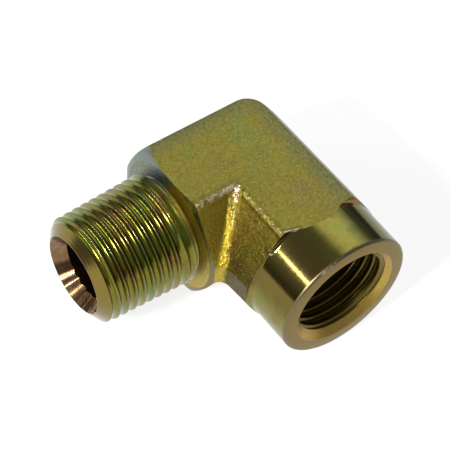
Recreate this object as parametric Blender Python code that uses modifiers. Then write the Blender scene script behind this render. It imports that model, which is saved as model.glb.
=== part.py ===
"""Forged street elbow: a 90 degree hydraulic adapter with a male and a female taper pipe end.

One steel forging is machined at both ends. Seen from above it is an L: the male shank leaves along -X,
the collar with the threaded socket leaves along -Y, and the two port axes cross on the middle plane
between the flats. The row's origin lies on the lower flat, straight below that crossing, and +Z is up
through the upper flat.

The sides of the forging draw in from a trimmed band at mid height towards both flats, so every level
of the L has its own widths, and the body is a loft through those levels. The shank, the shoulder, the
collar, its step, the socket and the bores are turned about their port's axis. The male thread is a real
helix, swept tooth by tooth, tapered and then cut to the shank's turned envelope. The socket's wall
stands for the crests of the female thread.
"""
import math

import bmesh
import bpy
from mathutils import Matrix

# Body forging, about the crossing of the port axes
FLAT_HALF_HEIGHT = 0.0128      # from the middle plane to a flat
BAND_HALF_HEIGHT = 0.0022      # half the height of the band that trimming the flash left
MALE_LEG_LENGTH = 0.01705      # crossing to the turned shoulder face
FEMALE_LEG_LENGTH = 0.0206     # crossing to the turned step behind the collar
MALE_OUTER_BAND = 0.014        # male leg, heel side, at the band
MALE_OUTER_FLAT = 0.00886      # male leg, heel side, at a flat
MALE_OUTER_BULGE = 0.0004
MALE_INNER_BAND = 0.01395      # male leg, crotch side
MALE_INNER_FLAT = 0.0071
MALE_INNER_BULGE = 0.0006
FEMALE_OUTER_BAND = 0.01375    # female leg, heel side, beside the heel
FEMALE_OUTER_FLAT = 0.0075
FEMALE_OUTER_BULGE = 0.0004
FEMALE_INNER_BAND = 0.0144     # female leg, crotch side, beside the collar
FEMALE_INNER_FLAT = 0.0076
FEMALE_INNER_BULGE = 0.0006
COLLAR_FLARE = 0.00045         # how far the female leg's heel side spreads on its way to the collar
CROTCH_SWELL = 0.00045         # how far its crotch side spreads at the band, towards the crotch
HEEL_CENTRE = 0.0039           # offset of the heel's corner centre from both port axes
HEEL_LEAST_RADIUS = 0.001
CROTCH_FLAT_FILLET = 0.001     # plan radius of the inner corner at a flat
CROTCH_BAND_FILLET = 0.0022    # and at the band
FLAT_EDGE_ROUND = 0.00055      # setback of the rounding along the flats' edges

# Male end, distances along -X
MALE_REACH = 0.0376            # crossing to the mouth
SHANK_MOUTH_RADIUS = 0.01033   # thread crests, carried to the mouth's plane
TAPER = 1.0 / 32.0             # growth of a taper pipe thread's radius per length
RIM_WIDTH = 0.00012            # narrow land left between seat and chamfer
MOUTH_CHAMFER_ANGLE = math.radians(35.0)
THREAD_RUN = 0.0191            # mouth to the end of the thread's envelope
THREAD_PITCH = 0.0254 / 14.0   # 14 threads to the inch
THREAD_DEPTH = 0.00115         # crest to root
THREAD_CREST = 0.0002          # width of the crests
THREAD_FLANK_ANGLE = math.radians(30.0)
CREST_SETBACK = 0.0004         # mouth to a crest, on the heel side at the height of the axis
RELIEF_RADIUS = 0.0096         # root of the relief groove
RELIEF_FLANK_ANGLE = math.radians(30.0)
RELIEF_FILLET = 0.0003
SHOULDER_FACE_RADIUS = 0.0129  # flat part of the turned shoulder
SHOULDER_CONE_RADIUS = 0.0144  # end of the shallow cone outside it
SHOULDER_CONE_ANGLE = math.radians(18.0)
SHOULDER_EDGE_ANGLE = math.radians(45.0)
SEAT_MOUTH_RADIUS = 0.0077
SEAT_HALF_ANGLE = math.radians(30.0)
MALE_BORE_RADIUS = 0.0062

# Female end, distances along -Y
FEMALE_REACH = 0.0307          # crossing to the collar's face
COLLAR_RADIUS = 0.0135
COLLAR_EDGE_ROUND = 0.0007
STEP_FILLET = 0.0008           # tool radius between the collar and the step behind it
STEP_RUN_IN = math.radians(20.0)
COUNTERSINK_RADIUS = 0.01067
COUNTERSINK_ANGLE = math.radians(45.0)
SOCKET_MOUTH_RADIUS = 0.00915  # tapped wall, carried to the collar's face
SOCKET_DEPTH = 0.0172          # face to the end of the tapered wall
DRILL_HALF_ANGLE = math.radians(59.0)
FEMALE_BORE_RADIUS = 0.0064
TONGUE_REACH = 0.0222          # crossing to the tip of the flat's run-out on the collar
TONGUE_RADIUS = 0.0095         # plan radius of that run-out's rounded end
TONGUE_RAMP = 0.0012           # length over which it climbs to the collar's surface

# Resolution
TURN_STEPS = 64
THREAD_STEPS = 40
HALF_FACET = math.pi / TURN_STEPS
SIDE_LEVELS = 7
HEEL_STEPS = 10
CROTCH_STEPS = 5
ROUND_STEPS = 3

# Working allowances
OVERLAP = 0.0005               # how deep joined solids run into each other
CLEAR = 0.002                  # how far cutters run past what they cut
MERGE = 0.00001
SHARP_ANGLE = math.radians(28.0)


def side_offset(band, flat, bulge, share):
    """Distance of a forged side from its port axis; share is 0 at the trimmed band and 1 at a flat."""
    return band + (flat - band) * share + 4.0 * bulge * share * (1.0 - share)


def arc_points(centre, radius, first, last, steps):
    """Points on an arc in the plan, both ends included; angles in radians from +X."""
    points = []
    for index in range(steps + 1):
        angle = first + (last - first) * index / steps
        points.append((centre[0] + radius * math.cos(angle), centre[1] + radius * math.sin(angle)))
    return points


def plan_outline(share):
    """The L at one level, seen from above, counter-clockwise from the collar end's outer corner."""
    male_outer = side_offset(MALE_OUTER_BAND, MALE_OUTER_FLAT, MALE_OUTER_BULGE, share)
    male_inner = side_offset(MALE_INNER_BAND, MALE_INNER_FLAT, MALE_INNER_BULGE, share)
    female_outer = side_offset(FEMALE_OUTER_BAND, FEMALE_OUTER_FLAT, FEMALE_OUTER_BULGE, share)
    female_inner = side_offset(FEMALE_INNER_BAND, FEMALE_INNER_FLAT, FEMALE_INNER_BULGE, share)
    heel = max(min(male_outer, female_outer) - HEEL_CENTRE, HEEL_LEAST_RADIUS)
    heel_centre = (female_outer - heel, male_outer - heel)
    swell = CROTCH_SWELL * (1.0 - share)
    fillet = CROTCH_BAND_FILLET + (CROTCH_FLAT_FILLET - CROTCH_BAND_FILLET) * share
    crotch_centre = (-female_inner - swell - fillet, -male_inner - fillet)
    points = [(female_outer + COLLAR_FLARE, -forged_end())]
    points += arc_points(heel_centre, heel, 0.0, math.pi / 2.0, HEEL_STEPS)
    points += [(-MALE_LEG_LENGTH, male_outer), (-MALE_LEG_LENGTH, -male_inner)]
    points += arc_points(crotch_centre, fillet, math.pi / 2.0, 0.0, CROTCH_STEPS)
    points += [(-female_inner, -forged_end())]
    return points


def forged_end():
    """Crossing to the end of the unturned female leg, whose corners the step's fillet takes off."""
    return FEMALE_LEG_LENGTH + STEP_FILLET


def body_levels():
    """Height and share of every level of the forging, from the lower flat to the upper one."""
    upper = []
    for index in range(SIDE_LEVELS + 1):
        share = index / SIDE_LEVELS
        height = BAND_HALF_HEIGHT + (FLAT_HALF_HEIGHT - BAND_HALF_HEIGHT) * share
        upper.append((height, share))
    lower = [(-height, share) for height, share in reversed(upper)]
    return lower + upper


def forge_body(name):
    """Lofts the L through its levels, closes both flats and rounds their edges."""
    mesh = bmesh.new()
    rings = []
    for height, share in body_levels():
        verts = [mesh.verts.new((x, y, height)) for x, y in plan_outline(share)]
        rings.append([mesh.edges.new((verts[i - 1], verts[i])) for i in range(len(verts))])
    for lower, upper in zip(rings, rings[1:]):
        bmesh.ops.bridge_loops(mesh, edges=lower + upper)
    for ring in (rings[0], rings[-1]):
        bmesh.ops.contextual_create(mesh, geom=ring)
    bmesh.ops.recalc_face_normals(mesh, faces=mesh.faces)
    bmesh.ops.bevel(mesh, geom=flat_edges(rings[0] + rings[-1]), offset=FLAT_EDGE_ROUND,
                    offset_type="OFFSET", segments=ROUND_STEPS, profile=0.5, affect="EDGES",
                    clamp_overlap=True)
    data = bpy.data.meshes.new(name)
    mesh.to_mesh(data)
    mesh.free()
    return bpy.data.objects.new(name, data)


def flat_edges(edges):
    """The flats' long edges, without those on the two cut ends of the legs."""
    chosen = []
    for edge in edges:
        at_male_end = all(abs(v.co.x + MALE_LEG_LENGTH) < MERGE for v in edge.verts)
        at_female_end = all(abs(v.co.y + forged_end()) < MERGE for v in edge.verts)
        if not at_male_end and not at_female_end:
            chosen.append(edge)
    return chosen


def turned(name, profile, axis, phase=0.0, closed=False):
    """Revolves a profile of (radius, distance from the crossing) about a port's axis.

    The male port points along -X and the female port along -Y. A profile is listed from the port's far
    end down its outer side. The ports point along negative axes, so the Screw takes it the other way
    round. A profile that starts and ends on the axis gives a solid, and a closed one that stays clear
    of the axis gives a ring. The phase turns a cutter's facets away from those of what it cuts.
    """
    mesh = bmesh.new()
    verts = []
    for radius, along in reversed(profile):
        out, up = radius * math.cos(phase), radius * math.sin(phase)
        verts.append(mesh.verts.new((-along, out, up) if axis == "X" else (out, -along, up)))
    for start, end in zip(verts, verts[1:]):
        mesh.edges.new((start, end))
    if closed:
        mesh.edges.new((verts[-1], verts[0]))
    data = bpy.data.meshes.new(name)
    mesh.to_mesh(data)
    mesh.free()
    obj = bpy.data.objects.new(name, data)
    screw = obj.modifiers.new("Turn", "SCREW")
    screw.axis = axis
    screw.steps = TURN_STEPS
    screw.render_steps = TURN_STEPS
    screw.use_merge_vertices = True
    screw.merge_threshold = MERGE
    return obj


def shank():
    """The threaded end's turned envelope: mouth chamfer, room for the crests and relief groove."""
    rim = SEAT_MOUTH_RADIUS + RIM_WIDTH
    last_crest = SHANK_MOUTH_RADIUS + THREAD_RUN * TAPER
    room = last_crest + OVERLAP
    chamfer = (room - rim) * math.tan(MOUTH_CHAMFER_ANGLE)
    flank = math.tan(RELIEF_FLANK_ANGLE)
    last = MALE_REACH - THREAD_RUN
    profile = [(0.0, MALE_REACH), (rim, MALE_REACH), (room, MALE_REACH - chamfer)]
    profile += [(room, last + (room - last_crest) * flank)]
    profile += [(RELIEF_RADIUS, relief_start())]
    for x, y in arc_points((MALE_LEG_LENGTH + RELIEF_FILLET, RELIEF_RADIUS + RELIEF_FILLET),
                           RELIEF_FILLET, 1.5 * math.pi, math.pi, ROUND_STEPS):
        profile.append((y, x))
    profile += [(RELIEF_RADIUS + RELIEF_FILLET, MALE_LEG_LENGTH - OVERLAP)]
    profile += [(0.0, MALE_LEG_LENGTH - OVERLAP)]
    return turned("shank_solid", profile, "X")


def relief_start():
    """Crossing to the end of the relief groove's sloping flank."""
    last_crest = SHANK_MOUTH_RADIUS + THREAD_RUN * TAPER
    return MALE_REACH - THREAD_RUN - (last_crest - RELIEF_RADIUS) * math.tan(RELIEF_FLANK_ANGLE)


def tooth_places():
    """Distances inward from a tooth's first root edge, each with its height above the root."""
    flank = THREAD_DEPTH * math.tan(THREAD_FLANK_ANGLE)
    root = max(THREAD_PITCH - THREAD_CREST - 2.0 * flank, MERGE)
    return [(0.0, 0.0), (root, 0.0), (root + flank, THREAD_DEPTH), (root + flank + THREAD_CREST, THREAD_DEPTH)]


def thread_form():
    """The right-handed thread as one closed solid that runs on past both ends of the threaded part.

    One turn of the spin moves each tooth to where the next one began, so a row of teeth is a whole
    helix. The taper is then put in by moving each ring of points out, and both open spirals are drawn
    out to flat round faces, the inner one wide enough to stay clear of the relief groove.
    """
    places = tooth_places()
    crest_middle = (places[2][0] + places[3][0]) / 2.0
    start = MALE_REACH - CREST_SETBACK + crest_middle + THREAD_PITCH * (1.0 - HALF_FACET / (2.0 * math.pi))
    turns = math.ceil((start - relief_start()) / THREAD_PITCH) + 1
    root_radius = SHANK_MOUTH_RADIUS - THREAD_DEPTH
    mesh = bmesh.new()
    verts = []
    for turn in range(turns):
        for inward, height in places:
            verts.append(mesh.verts.new((turn * THREAD_PITCH + inward - start, root_radius + height, 0.0)))
    verts.append(mesh.verts.new((turns * THREAD_PITCH - start, root_radius, 0.0)))
    bmesh.ops.rotate(mesh, verts=verts, cent=(0.0, 0.0, 0.0), matrix=Matrix.Rotation(HALF_FACET, 3, "X"))
    edges = [mesh.edges.new(pair) for pair in zip(verts, verts[1:])]
    bmesh.ops.spin(mesh, geom=verts + edges, cent=(0.0, 0.0, 0.0), axis=(1.0, 0.0, 0.0),
                   dvec=(THREAD_PITCH / THREAD_STEPS, 0.0, 0.0), angle=2.0 * math.pi, steps=THREAD_STEPS)
    bmesh.ops.remove_doubles(mesh, verts=mesh.verts, dist=MERGE)
    for vert in mesh.verts:
        radius = math.hypot(vert.co.y, vert.co.z)
        wanted = radius + (MALE_REACH + vert.co.x) * TAPER
        if -vert.co.x < relief_start():
            wanted = SHOULDER_FACE_RADIUS
        vert.co.y *= wanted / radius
        vert.co.z *= wanted / radius
    close_spiral(mesh, root_radius - CLEAR, start + CLEAR)
    close_spiral(mesh, SHOULDER_FACE_RADIUS + CLEAR, start - (turns + 1) * THREAD_PITCH - CLEAR)
    bmesh.ops.recalc_face_normals(mesh, faces=mesh.faces)
    data = bpy.data.meshes.new("thread_form")
    mesh.to_mesh(data)
    mesh.free()
    return bpy.data.objects.new("thread_form", data)


def close_spiral(mesh, radius, along):
    """Draws the open end that is nearer to a plane out to a round face in that plane."""
    middle = MALE_REACH - THREAD_RUN / 2.0
    rim = [edge for edge in mesh.edges if edge.is_boundary
           and (-edge.verts[0].co.x > middle) == (along > middle)]
    made = bmesh.ops.extrude_edge_only(mesh, edges=rim)["geom"]
    verts = [item for item in made if isinstance(item, bmesh.types.BMVert)]
    for vert in verts:
        factor = radius / math.hypot(vert.co.y, vert.co.z)
        vert.co = (-along, vert.co.y * factor, vert.co.z * factor)
    bmesh.ops.remove_doubles(mesh, verts=verts, dist=MERGE)
    rim = [edge for edge in mesh.edges if edge.is_boundary and abs(edge.verts[0].co.x + along) < MERGE]
    bmesh.ops.contextual_create(mesh, geom=rim)


def leg_reach(band, flat):
    """A radius just outside a leg's section, whose farthest corners are on the band and on the flats."""
    return max(math.hypot(band, BAND_HALF_HEIGHT), math.hypot(flat, FLAT_HALF_HEIGHT)) + OVERLAP


def shoulder_cutter():
    """The ring that the turning tool takes off the male leg's corners."""
    slope = math.tan(SHOULDER_CONE_ANGLE)
    inner = SHOULDER_FACE_RADIUS - OVERLAP
    cone_end = MALE_LEG_LENGTH - (SHOULDER_CONE_RADIUS - SHOULDER_FACE_RADIUS) * slope
    outer = leg_reach(max(MALE_OUTER_BAND, MALE_INNER_BAND), max(MALE_OUTER_FLAT, MALE_INNER_FLAT))
    drop = (outer - SHOULDER_CONE_RADIUS) * math.tan(SHOULDER_EDGE_ANGLE)
    profile = [(inner, MALE_LEG_LENGTH + CLEAR), (outer, MALE_LEG_LENGTH + CLEAR)]
    profile += [(outer, cone_end - drop), (SHOULDER_CONE_RADIUS, cone_end)]
    profile += [(inner, MALE_LEG_LENGTH + OVERLAP * slope)]
    return turned("shoulder_cutter", profile, "X", closed=True)


def step_cutter():
    """The ring turned off the female leg's corners, filleted where it meets the collar."""
    centre = (FEMALE_LEG_LENGTH + STEP_FILLET, COLLAR_RADIUS + STEP_FILLET)
    outer = leg_reach(max(FEMALE_OUTER_BAND + COLLAR_FLARE, FEMALE_INNER_BAND),
                      max(FEMALE_OUTER_FLAT + COLLAR_FLARE, FEMALE_INNER_FLAT))
    profile = [(outer, FEMALE_LEG_LENGTH + CLEAR), (outer, FEMALE_LEG_LENGTH)]
    for x, y in arc_points(centre, STEP_FILLET, math.pi, 1.5 * math.pi - STEP_RUN_IN, 2 * ROUND_STEPS):
        profile.append((y, x))
    last_radius, last_along = profile[-1]
    profile += [(last_radius - STEP_FILLET * math.sin(STEP_RUN_IN),
                 last_along + STEP_FILLET * math.cos(STEP_RUN_IN))]
    profile += [(profile[-1][0], FEMALE_LEG_LENGTH + CLEAR)]
    return turned("step_cutter", profile, "Y", HALF_FACET, closed=True)


def male_bore_cutter():
    """The conical seat in the mouth and the drilled bore behind it."""
    slope = math.tan(SEAT_HALF_ANGLE)
    seat = (SEAT_MOUTH_RADIUS - MALE_BORE_RADIUS) / slope
    tip = MALE_BORE_RADIUS / math.tan(DRILL_HALF_ANGLE)
    profile = [(0.0, MALE_REACH + CLEAR), (SEAT_MOUTH_RADIUS + CLEAR * slope, MALE_REACH + CLEAR)]
    profile += [(MALE_BORE_RADIUS, MALE_REACH - seat)]
    profile += [(MALE_BORE_RADIUS, tip - FEMALE_BORE_RADIUS), (0.0, -FEMALE_BORE_RADIUS)]
    return turned("male_bore_cutter", profile, "X", HALF_FACET)


def collar():
    """The turned collar round the socket, with the flats' run-outs cut into it above and below."""
    start = FEMALE_LEG_LENGTH - OVERLAP
    profile = [(0.0, FEMALE_REACH)]
    for x, y in arc_points((FEMALE_REACH - COLLAR_EDGE_ROUND, COLLAR_RADIUS - COLLAR_EDGE_ROUND),
                           COLLAR_EDGE_ROUND, 0.0, math.pi / 2.0, ROUND_STEPS):
        profile.append((y, x))
    profile += [(COLLAR_RADIUS, start), (0.0, start)]
    return turned("collar_solid", profile, "Y")


def tongue_cutter():
    """A round table standing on each flat's plane; its edge is the run-out's rounded, ramped end."""
    rise = COLLAR_RADIUS - FLAT_HALF_HEIGHT
    height = rise + CLEAR
    spread = TONGUE_RAMP * height / max(rise, MERGE)
    mesh = bmesh.new()
    bmesh.ops.create_cone(mesh, cap_ends=True, segments=4 * TURN_STEPS, radius1=TONGUE_RADIUS,
                          radius2=TONGUE_RADIUS + spread, depth=height)
    bmesh.ops.translate(mesh, verts=mesh.verts,
                        vec=(0.0, TONGUE_RADIUS - TONGUE_REACH, FLAT_HALF_HEIGHT + height / 2.0))
    for vert in mesh.verts:
        if vert.co.z < FLAT_HALF_HEIGHT + MERGE:
            vert.co.z = FLAT_HALF_HEIGHT
    data = bpy.data.meshes.new("tongue_cutter")
    mesh.to_mesh(data)
    mesh.free()
    obj = bpy.data.objects.new("tongue_cutter", data)
    mirror = obj.modifiers.new("Both flats", "MIRROR")
    mirror.use_axis = (False, False, True)
    mirror.use_mirror_merge = False
    return obj


def socket_cutter():
    """Countersink, tapered wall, drill cone and bore of the female port."""
    slope = math.tan(COUNTERSINK_ANGLE)
    wall_end = SOCKET_MOUTH_RADIUS - SOCKET_DEPTH * TAPER
    sink = (COUNTERSINK_RADIUS - SOCKET_MOUTH_RADIUS) / (slope - TAPER)
    cone = (wall_end - FEMALE_BORE_RADIUS) / math.tan(DRILL_HALF_ANGLE)
    tip = FEMALE_BORE_RADIUS / math.tan(DRILL_HALF_ANGLE)
    profile = [(0.0, FEMALE_REACH + CLEAR), (COUNTERSINK_RADIUS + CLEAR * slope, FEMALE_REACH + CLEAR)]
    profile += [(SOCKET_MOUTH_RADIUS - sink * TAPER, FEMALE_REACH - sink)]
    profile += [(wall_end, FEMALE_REACH - SOCKET_DEPTH)]
    profile += [(FEMALE_BORE_RADIUS, FEMALE_REACH - SOCKET_DEPTH - cone)]
    profile += [(FEMALE_BORE_RADIUS, tip - MALE_BORE_RADIUS), (0.0, -MALE_BORE_RADIUS)]
    return turned("socket_cutter", profile, "Y", HALF_FACET)


def boolean(target, operand, operation):
    """Adds an exact Boolean step to the target."""
    step = target.modifiers.new(operation.title() + " " + operand.name, "BOOLEAN")
    step.operation = operation
    step.solver = "EXACT"
    step.object = operand
    return step


def plated_steel():
    """Yellow chromated zinc on steel."""
    material = bpy.data.materials.new("yellow_chromate_zinc")
    material.use_nodes = True
    shader = material.node_tree.nodes["Principled BSDF"]
    shader.inputs["Base Color"].default_value = (0.33, 0.29, 0.075, 1.0)
    shader.inputs["Metallic"].default_value = 1.0
    shader.inputs["Roughness"].default_value = 0.36
    material.diffuse_color = (0.33, 0.29, 0.075, 1.0)
    return material


def main():
    """Clears the scene and builds the elbow."""
    for obj in list(bpy.data.objects):
        bpy.data.objects.remove(obj, do_unlink=True)
    parts = bpy.data.collections.new("hydraulic_elbow_adapter")
    tools = bpy.data.collections.new("tools")
    bpy.context.scene.collection.children.link(parts)
    bpy.context.scene.collection.children.link(tools)

    crossing = bpy.data.objects.new("port_crossing", None)
    crossing.location = (0.0, 0.0, FLAT_HALF_HEIGHT)
    crossing.empty_display_size = COLLAR_RADIUS
    tools.objects.link(crossing)

    body = forge_body("elbow_body")
    body.data.materials.append(plated_steel())
    body.parent = crossing
    parts.objects.link(body)

    ring, step, stem, thread = shoulder_cutter(), step_cutter(), shank(), thread_form()
    flange, tongue, bore, socket = collar(), tongue_cutter(), male_bore_cutter(), socket_cutter()
    for tool in (ring, step, stem, thread, flange, tongue, bore, socket):
        tool.hide_render = True
        tool.display_type = "WIRE"
        tool.parent = crossing
        tools.objects.link(tool)

    boolean(stem, thread, "INTERSECT")
    boolean(flange, tongue, "DIFFERENCE")
    boolean(body, ring, "DIFFERENCE")
    boolean(body, step, "DIFFERENCE")
    boolean(body, flange, "UNION")
    boolean(body, stem, "UNION")
    boolean(body, bore, "DIFFERENCE")
    boolean(body, socket, "DIFFERENCE")
    body.data.shade_smooth()
    body.data.set_sharp_from_angle(angle=SHARP_ANGLE)


main()
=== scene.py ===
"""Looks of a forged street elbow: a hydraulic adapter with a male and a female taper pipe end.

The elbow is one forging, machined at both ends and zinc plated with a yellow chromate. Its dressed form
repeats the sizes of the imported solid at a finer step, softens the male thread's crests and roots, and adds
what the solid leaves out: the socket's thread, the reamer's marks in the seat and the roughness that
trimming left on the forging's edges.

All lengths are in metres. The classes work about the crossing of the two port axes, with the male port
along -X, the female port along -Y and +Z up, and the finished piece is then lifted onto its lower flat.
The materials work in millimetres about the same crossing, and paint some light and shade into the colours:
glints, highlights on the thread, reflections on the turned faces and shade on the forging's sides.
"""
from __future__ import annotations

import logging
import math
from dataclasses import dataclass, field
from enum import Enum
from functools import cache
from typing import Callable, Iterable, Mapping, Sequence

import bmesh
import bpy
from mathutils import Matrix, Vector

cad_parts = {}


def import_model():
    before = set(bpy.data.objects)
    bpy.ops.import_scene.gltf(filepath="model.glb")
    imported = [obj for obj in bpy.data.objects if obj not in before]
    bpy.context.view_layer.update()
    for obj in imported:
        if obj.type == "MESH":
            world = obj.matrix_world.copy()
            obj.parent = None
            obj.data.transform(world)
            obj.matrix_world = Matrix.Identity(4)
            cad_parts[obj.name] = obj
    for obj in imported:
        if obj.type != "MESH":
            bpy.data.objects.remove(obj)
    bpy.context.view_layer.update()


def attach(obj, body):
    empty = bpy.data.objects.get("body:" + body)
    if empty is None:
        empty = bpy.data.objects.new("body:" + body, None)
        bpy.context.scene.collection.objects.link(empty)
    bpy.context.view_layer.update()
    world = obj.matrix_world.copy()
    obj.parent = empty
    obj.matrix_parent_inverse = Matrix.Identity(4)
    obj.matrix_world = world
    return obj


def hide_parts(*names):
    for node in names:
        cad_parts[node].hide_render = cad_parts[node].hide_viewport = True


LOG = logging.getLogger("street_elbow")
BODY_NODE = "elbow_body"
MERGE = 1e-6                                     # points nearer than this are welded
ON_PLANE = 1e-5                                  # how near a point on a plane is to it
OVERLAP = 0.0005                                 # how far joined solids reach into each other
CLEAR = 0.002                                    # how far a cutter stands out of what it cuts
FULL_TURN = 2.0 * math.pi
FACETS = 256                                     # round a turned form
HALF_FACET = math.pi / FACETS                    # keeps a cutter's facets off those of what it cuts
FLAT = 0.0128                                    # from the crossing to either flat
MALE_LEG = 0.01705                               # from the crossing to the shoulder
MALE_BORE = 0.0062
FEMALE_BORE = 0.0064
DRILL_SLOPE = math.tan(math.radians(59.0))
TAPER = 1.0 / 32.0                               # growth of a thread's radius per length
PITCH = 0.0018143                                # 14 threads to the inch
ORIGIN = (0.0, 0.0, 0.0)
WHITE = (1.0, 1.0, 1.0, 1.0)
GROUP_KINDS = {"Position": "Vector", "Color": "Color"}
NUMBER_RESULTS = ("DOT_PRODUCT", "LENGTH", "DISTANCE")

Point = tuple[float, float, float]
Profile = Sequence[tuple[float, float]]
Tone = tuple[float, float, float, float]
Mesh, Vert, Edge = bmesh.types.BMesh, bmesh.types.BMVert, bmesh.types.BMEdge
Piece, Node, Tree, Socket = bpy.types.Object, bpy.types.Node, bpy.types.NodeTree, bpy.types.NodeSocket
Layout = Callable[["Graph", Mapping[str, Socket]], Sequence[Socket]]


class Port(Enum):
    """The two ports, each with the direction of its axis."""

    MALE = (1.0, 0.0, 0.0)
    FEMALE = (0.0, 1.0, 0.0)

    def place(self, radius: float, along: float) -> Vector:
        """Point at a radius from the port's axis and a distance from the crossing towards its mouth."""
        if self is Port.MALE:
            return Vector((-along, radius, 0.0))
        return Vector((radius, -along, 0.0))

    def measure(self, point: Vector) -> tuple[float, float]:
        """Radius from the port's axis, and distance from the crossing towards its mouth."""
        if self is Port.MALE:
            return math.hypot(point.y, point.z), -point.x
        return math.hypot(point.x, point.z), -point.y

    def grow(self, point: Vector, factor: float) -> None:
        """Moves a point away from the port's axis."""
        if self is Port.MALE:
            point.y *= factor
        else:
            point.x *= factor
        point.z *= factor


class Finish(Enum):
    """The finishes of the elbow's surfaces, one material each."""

    FORGED = "forged_skin"
    TURNED_MALE = "turned_shoulder"
    THREAD = "cut_thread"
    SEAT = "reamed_seat"
    BORE = "drilled_bore"
    TURNED_FEMALE = "turned_collar"
    SINK = "turned_countersink"
    SOCKET = "tapped_socket"


class Pen:
    """Draws a chain of edges in a bmesh, from one point to the next."""

    def __init__(self, mesh: Mesh, start: Sequence[float]) -> None:
        """Puts the pen down.

        Args:
            mesh: The bmesh to draw in.
            start: The chain's first point.
        """
        self.mesh = mesh
        self.known = set(mesh.edges)
        self.first = self.last = mesh.verts.new(start)

    def line(self, end: Sequence[float]) -> None:
        """Draws one edge."""
        self.last = bmesh.ops.extrude_vert_indiv(self.mesh, verts=[self.last])["verts"][0]
        self.last.co = end

    def run(self, end: Point, count: int, last: bool = True) -> None:
        """Draws a straight run of edges.

        Args:
            end: Where the run ends.
            count: How many edges it has.
            last: Whether the last edge is drawn too.
        """
        start, end = self.last.co.copy(), Vector(end)
        for index in range(count if last else count - 1):
            self.line(start.lerp(end, (index + 1) / count))

    def arc(self, centre: Point, angle: float, steps: int) -> None:
        """Draws a level arc from where the pen is.

        Args:
            centre: The arc's centre.
            angle: How far it turns about +Z.
            steps: How many edges it has.
        """
        made = bmesh.ops.spin(self.mesh, geom=[self.last], cent=centre, axis=(0.0, 0.0, 1.0), angle=angle,
                              steps=steps, use_merge=False, use_duplicate=False)
        self.last = next(item for item in made["geom_last"] if isinstance(item, Vert))

    def close(self) -> list[Edge]:
        """Joins the last point to the first and gives the edges drawn since the pen went down."""
        self.mesh.edges.new((self.last, self.first))
        return [edge for edge in self.mesh.edges if edge not in self.known]


def to_object(mesh: Mesh, name: str, material: bpy.types.Material) -> Piece:
    """Turns a bmesh into an object of one material.

    Args:
        mesh: The bmesh, which is freed.
        name: The object's name.
        material: The material of all its faces.

    Returns:
        The new object, linked to the scene.
    """
    data = bpy.data.meshes.new(name)
    mesh.to_mesh(data)
    mesh.free()
    data.materials.append(material)
    return link(bpy.data.objects.new(name, data))


def link(piece: Piece) -> Piece:
    """Links an object to the scene."""
    bpy.context.scene.collection.objects.link(piece)
    return piece


def material_for(finish: Finish) -> bpy.types.Material:
    """The material of a finish, made empty when it is first asked for."""
    return bpy.data.materials.get(finish.value) or bpy.data.materials.new(finish.value)


def tone(red: int, green: int, blue: int) -> Tone:
    """A colour given as it looks on a screen, as a linear colour for a shader."""
    parts = [value / 255.0 for value in (red, green, blue)]
    linear = [part / 12.92 if part <= 0.04045 else ((part + 0.055) / 1.055) ** 2.4 for part in parts]
    return (linear[0], linear[1], linear[2], 1.0)


class Graph:
    """Adds nodes and links to the tree of a material or a group."""

    def __init__(self, tree: Tree) -> None:
        """Keeps the tree to work on."""
        self.tree = tree

    def node(self, kind: str, feeds: Mapping[int | str, object] | None = None, **settings: object) -> Node:
        """Adds a node, sets its properties and feeds its inputs.

        Args:
            kind: The node's type.
            feeds: A value or socket for each input, by name or number.
            **settings: The node's own properties, set before its inputs are fed.

        Returns:
            The node.
        """
        node = self.tree.nodes.new(kind)
        for name, value in settings.items():
            setattr(node, name, value)
        for key, value in (feeds or {}).items():
            self.feed(node.inputs[key], value)
        return node

    def feed(self, socket: Socket, value: object) -> None:
        """Links a socket to an input, or sets the input's own value.

        Args:
            socket: The input.
            value: A socket, or a plain value.
        """
        if isinstance(value, Socket):
            self.tree.links.new(value, socket)
        else:
            socket.default_value = value

    def math(self, operation: str, first: object, second: object = 0.0, clamp: bool = False) -> Socket:
        """A Math node's result."""
        return self.node("ShaderNodeMath", {0: first, 1: second}, operation=operation,
                         use_clamp=clamp).outputs[0]

    def blend(self, factor: object, first: object, second: object, mode: str = "MIX",
              kind: str = "RGBA") -> Socket:
        """A Mix node's colour, or its value if its kind is FLOAT."""
        return self.node("ShaderNodeMix", {"Factor": factor, "A": first, "B": second}, data_type=kind,
                         blend_type=mode).outputs["Result"]

    def ramp(self, value: object, low: object, high: object, to_low: object = 0.0,
             to_high: object = 1.0) -> Socket:
        """A smooth step of a value from one range to another."""
        return self.node("ShaderNodeMapRange", {"Value": value, "From Min": low, "From Max": high,
                                                "To Min": to_low, "To Max": to_high},
                         interpolation_type="SMOOTHSTEP").outputs["Result"]

    def noise(self, place: object, scale: object, detail: float, roughness: float,
              lines: bool = False) -> Socket:
        """A noise value from 0 to 1, about a position or, for lines, along a number."""
        return self.node("ShaderNodeTexNoise", {"W" if lines else "Vector": place, "Scale": scale,
                                                "Detail": detail, "Roughness": roughness},
                         noise_dimensions="1D" if lines else "3D").outputs["Fac"]

    def grey(self, value: object) -> Socket:
        """A value as a colour."""
        return self.node("ShaderNodeCombineColor", {0: value, 1: value, 2: value}).outputs[0]

    def vector(self, operation: str, first: object, second: object = ORIGIN) -> Socket:
        """A Vector Math node's result.

        Args:
            operation: The node's operation.
            first: Its first vector.
            second: Its second vector, or the number that it scales by.

        Returns:
            Its value if it is a number, or its vector.
        """
        node = self.node("ShaderNodeVectorMath", operation=operation)
        self.feed(node.inputs[0], first)
        self.feed(node.inputs["Scale" if operation == "SCALE" else 1], second)
        return node.outputs["Value" if operation in NUMBER_RESULTS else "Vector"]

    def place(self, group_tree: Callable[[], Tree], **values: object) -> Mapping[str, Socket]:
        """Places a shared group, feeds its inputs and gives its outputs."""
        return self.node("ShaderNodeGroup", values, node_tree=group_tree()).outputs


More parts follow.
